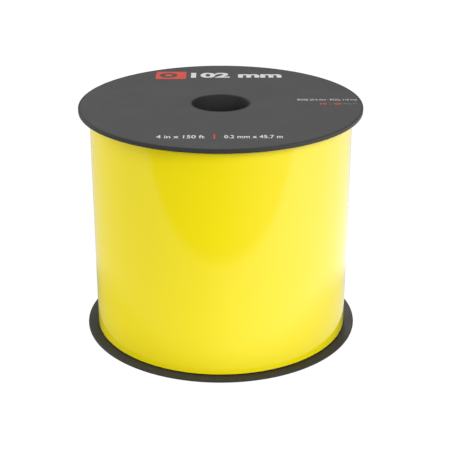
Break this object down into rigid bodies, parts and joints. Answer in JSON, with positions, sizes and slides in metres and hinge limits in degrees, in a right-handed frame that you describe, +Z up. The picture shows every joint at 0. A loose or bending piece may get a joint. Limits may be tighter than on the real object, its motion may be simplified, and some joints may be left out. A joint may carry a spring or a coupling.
{
  "type": "roll of sign vinyl",
  "caption": "Roll of yellow adhesive sign vinyl wound on a flanged spool with a through bore for a spindle; its taped leading end lifts off the roll.",
  "frame": {"origin": "on the spool's axis, at the plane that the lower flange's rim stands on", "axes": "+Z up along the spool's axis; the strip's leading end is at the back, on the +Y side"},
  "size_m": [0.125, 0.125, 0.1052],
  "materials": {
    "flange_plastic": "black moulded polystyrene, satin",
    "face_label": "dark grey printed film, matt, with white and red marks",
    "vinyl_film": "yellow gloss vinyl, smooth",
    "release_liner": "off-white siliconised paper, smooth",
    "wound_strip": "edges of tightly wound yellow film and off-white liner, in fine rings",
    "core_board": "brown spiral-wound paperboard, matt",
    "start_tape": "cream paper tape, matt",
    "tab_tape": "white crepe paper tape, matt"
  },
  "bodies": {
    "root": {"core_tube": "core_board", "start_tape": "start_tape", "lower_flange": "flange_plastic", "upper_flange": "flange_plastic", "lower_face_label": "face_label", "upper_face_label": "face_label", "wound_web": "wound_strip", "outer_wrap_film": "vinyl_film", "outer_wrap_liner": "release_liner"},
    "end_1": {"leading_film_1": "vinyl_film", "leading_liner_1": "release_liner"},
    "end_2": {"leading_film_2": "vinyl_film", "leading_liner_2": "release_liner"},
    "end_3": {"leading_film_3": "vinyl_film", "leading_liner_3": "release_liner"},
    "end_4": {"leading_film_4": "vinyl_film", "leading_liner_4": "release_liner"},
    "end_5": {"leading_film_5": "vinyl_film", "leading_liner_5": "release_liner", "closing_tab_anchor": "tab_tape"},
    "tab_flap": {"closing_tab_flap": "tab_tape"}
  },
  "joints": [
    {"name": "leading_end_lift", "type": "hinge", "parent": "root", "child": "end_1", "pos_m": [0.02894, 0.05023, 0.0526], "axis": [0, 0, -1], "range_deg": [0, 18], "stiffness_Nm_per_rad": 0.002},
    {"name": "leading_end_bend_2", "type": "hinge", "parent": "end_1", "child": "end_2", "pos_m": [0.01787, 0.05516, 0.0526], "axis": [0, 0, -1], "range_deg": [0, 18]},
    {"name": "leading_end_bend_3", "type": "hinge", "parent": "end_2", "child": "end_3", "pos_m": [0.00603, 0.05767, 0.0526], "axis": [0, 0, -1], "range_deg": [0, 18]},
    {"name": "leading_end_bend_4", "type": "hinge", "parent": "end_3", "child": "end_4", "pos_m": [-0.00609, 0.05767, 0.0526], "axis": [0, 0, -1], "range_deg": [0, 18]},
    {"name": "leading_end_bend_5", "type": "hinge", "parent": "end_4", "child": "end_5", "pos_m": [-0.01793, 0.05516, 0.0526], "axis": [0, 0, -1], "range_deg": [0, 18]},
    {"name": "closing_tab_peel", "type": "hinge", "parent": "end_5", "child": "tab_flap", "pos_m": [-0.02907, 0.05034, 0.0526], "axis": [0, 0, -1], "range_deg": [0, 60]}
  ],
  "couplings": [
    {"joint": "leading_end_bend_2", "follows": "leading_end_lift", "ratio": 1},
    {"joint": "leading_end_bend_3", "follows": "leading_end_lift", "ratio": 1},
    {"joint": "leading_end_bend_4", "follows": "leading_end_lift", "ratio": 1},
    {"joint": "leading_end_bend_5", "follows": "leading_end_lift", "ratio": 1}
  ]
}
